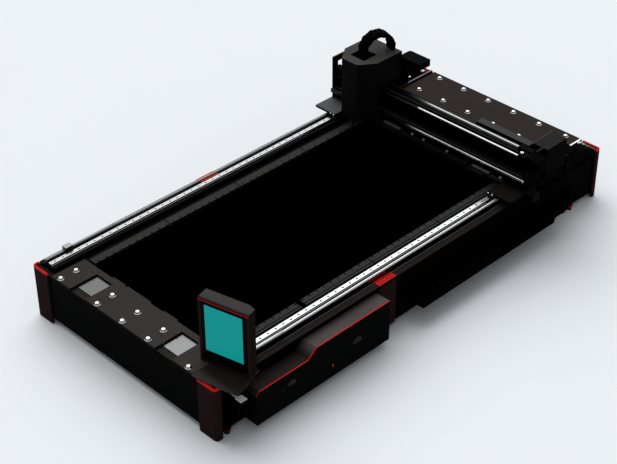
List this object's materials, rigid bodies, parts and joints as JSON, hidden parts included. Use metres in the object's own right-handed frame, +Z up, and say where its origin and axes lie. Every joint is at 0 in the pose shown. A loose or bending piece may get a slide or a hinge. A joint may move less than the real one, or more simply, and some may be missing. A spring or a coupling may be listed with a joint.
{
  "type": "laser cutting machine",
  "caption": "Flat-bed gantry laser cutter: slatted bed in a low frame, side rails and drive screws, a sliding gantry with a hooded head, tilting screen and side control box.",
  "frame": {"origin": "middle of the overall footprint, on the floor under the feet", "axes": "+Y from the operator's front towards the motors at the rear, +X to the operator's right, +Z up"},
  "size_m": [0.749, 1.442, 0.4418],
  "materials": {
    "frame_black": "black anodised",
    "deck_brown": "satin",
    "pan_black": "matt",
    "post_brown": "satin",
    "red_paint": "gloss",
    "bare_aluminium": "bare",
    "rail_steel": "ground",
    "screw_steel": "rolled",
    "dark_steel": "blackened",
    "black_anodised": "black anodised",
    "motor_black": "satin",
    "box_black": "satin",
    "black_plastic": "matt",
    "screen_teal": "gloss",
    "hood_black": "black paint",
    "nozzle_brass": "turned",
    "foot_red": "matt",
    "key_red": "gloss",
    "board_green": "matt"
  },
  "bodies": {
    "frame": {"air_regulator": "bare_aluminium", "bed_pan": "pan_black", "bed_slats": "pan_black", "chain_tray": "pan_black", "control_box": "box_black", "control_electronics": "board_green", "control_panel": "box_black", "control_ports": "black_plastic", "control_trim": "red_paint", "cross_beam": "frame_black", "deck_screws": "dark_steel", "end_beams": "frame_black", "foot_pads": "foot_red", "frame_posts": "post_brown", "front_deck": "deck_brown", "hinge_pin": "rail_steel", "left_beam": "frame_black", "levelling_feet": "black_plastic", "long_chain": "black_plastic", "motor_brackets": "black_anodised", "motor_cheeks": "bare_aluminium", "rear_deck": "deck_brown", "red_caps": "red_paint", "regulator_bowl": "black_plastic", "right_beam": "frame_black", "screen_base": "deck_brown", "screw_supports": "black_anodised", "side_motors": "motor_black", "side_rails": "rail_steel", "slat_strips": "bare_aluminium", "window_pads": "bare_aluminium"},
    "left_screw": {"left_screw": "screw_steel"},
    "right_screw": {"right_screw": "screw_steel"},
    "gantry": {"foot_plates": "deck_brown", "side_carriages": "dark_steel", "side_nuts": "black_anodised", "gantry_beam": "frame_black", "end_plates": "frame_black", "cross_rails": "rail_steel", "cross_bearings": "black_anodised", "cross_motor": "motor_black", "cable_shelf": "bare_aluminium", "chain_shelf": "pan_black", "cross_chain": "black_plastic"},
    "cross_screw": {"cross_screw": "screw_steel"},
    "head": {"head_plate": "black_anodised", "head_carriages": "dark_steel", "head_nut": "black_anodised", "hood": "hood_black", "cable_guide": "black_plastic", "loop_chain": "black_plastic", "lift_motor": "motor_black"},
    "lift": {"lift_slide": "black_anodised", "laser_body": "black_anodised", "nozzle": "nozzle_brass"},
    "screen": {"screen_shell": "black_plastic", "screen_bezel": "black_plastic", "screen_glass": "screen_teal", "screen_trim": "red_paint"},
    "key": {"power_key": "key_red"}
  },
  "joints": [
    {"name": "gantry_slide", "type": "slide", "parent": "frame", "child": "gantry", "axis": [0, 1, 0], "range_m": [-0.85, 0.1], "deforming": ["long_chain"]},
    {"name": "left_screw_turn", "type": "hinge", "parent": "frame", "child": "left_screw", "pos_m": [-0.3285, 0, 0.171], "axis": [0, 1, 0], "range_deg": [-38700, 4950]},
    {"name": "right_screw_turn", "type": "hinge", "parent": "frame", "child": "right_screw", "pos_m": [0.2935, 0, 0.171], "axis": [0, 1, 0], "range_deg": [-38700, 4950]},
    {"name": "head_slide", "type": "slide", "parent": "gantry", "child": "head", "axis": [1, 0, 0], "range_m": [-0.05, 0.45], "deforming": ["cross_chain"]},
    {"name": "cross_screw_turn", "type": "hinge", "parent": "gantry", "child": "cross_screw", "pos_m": [-0.0175, 0.372, 0.275], "axis": [1, 0, 0], "range_deg": [-2700, 20700]},
    {"name": "head_lift", "type": "slide", "parent": "head", "child": "lift", "axis": [0, 0, 1], "range_m": [-0.006, 0.03]},
    {"name": "screen_tilt", "type": "hinge", "parent": "frame", "child": "screen", "pos_m": [0.27985, -0.62693, 0.1655], "axis": [-0.9724, -0.2334, 0], "range_deg": [0, 15]},
    {"name": "key_press", "type": "slide", "parent": "frame", "child": "key", "axis": [-1, 0, 0], "range_m": [0, 0.003], "stiffness_N_per_m": 400}
  ],
  "couplings": [
    {"joint": "left_screw_turn", "follows": "gantry_slide", "rad_per_m": 785.4},
    {"joint": "right_screw_turn", "follows": "gantry_slide", "rad_per_m": 785.4},
    {"joint": "cross_screw_turn", "follows": "head_slide", "rad_per_m": 785.4}
  ]
}
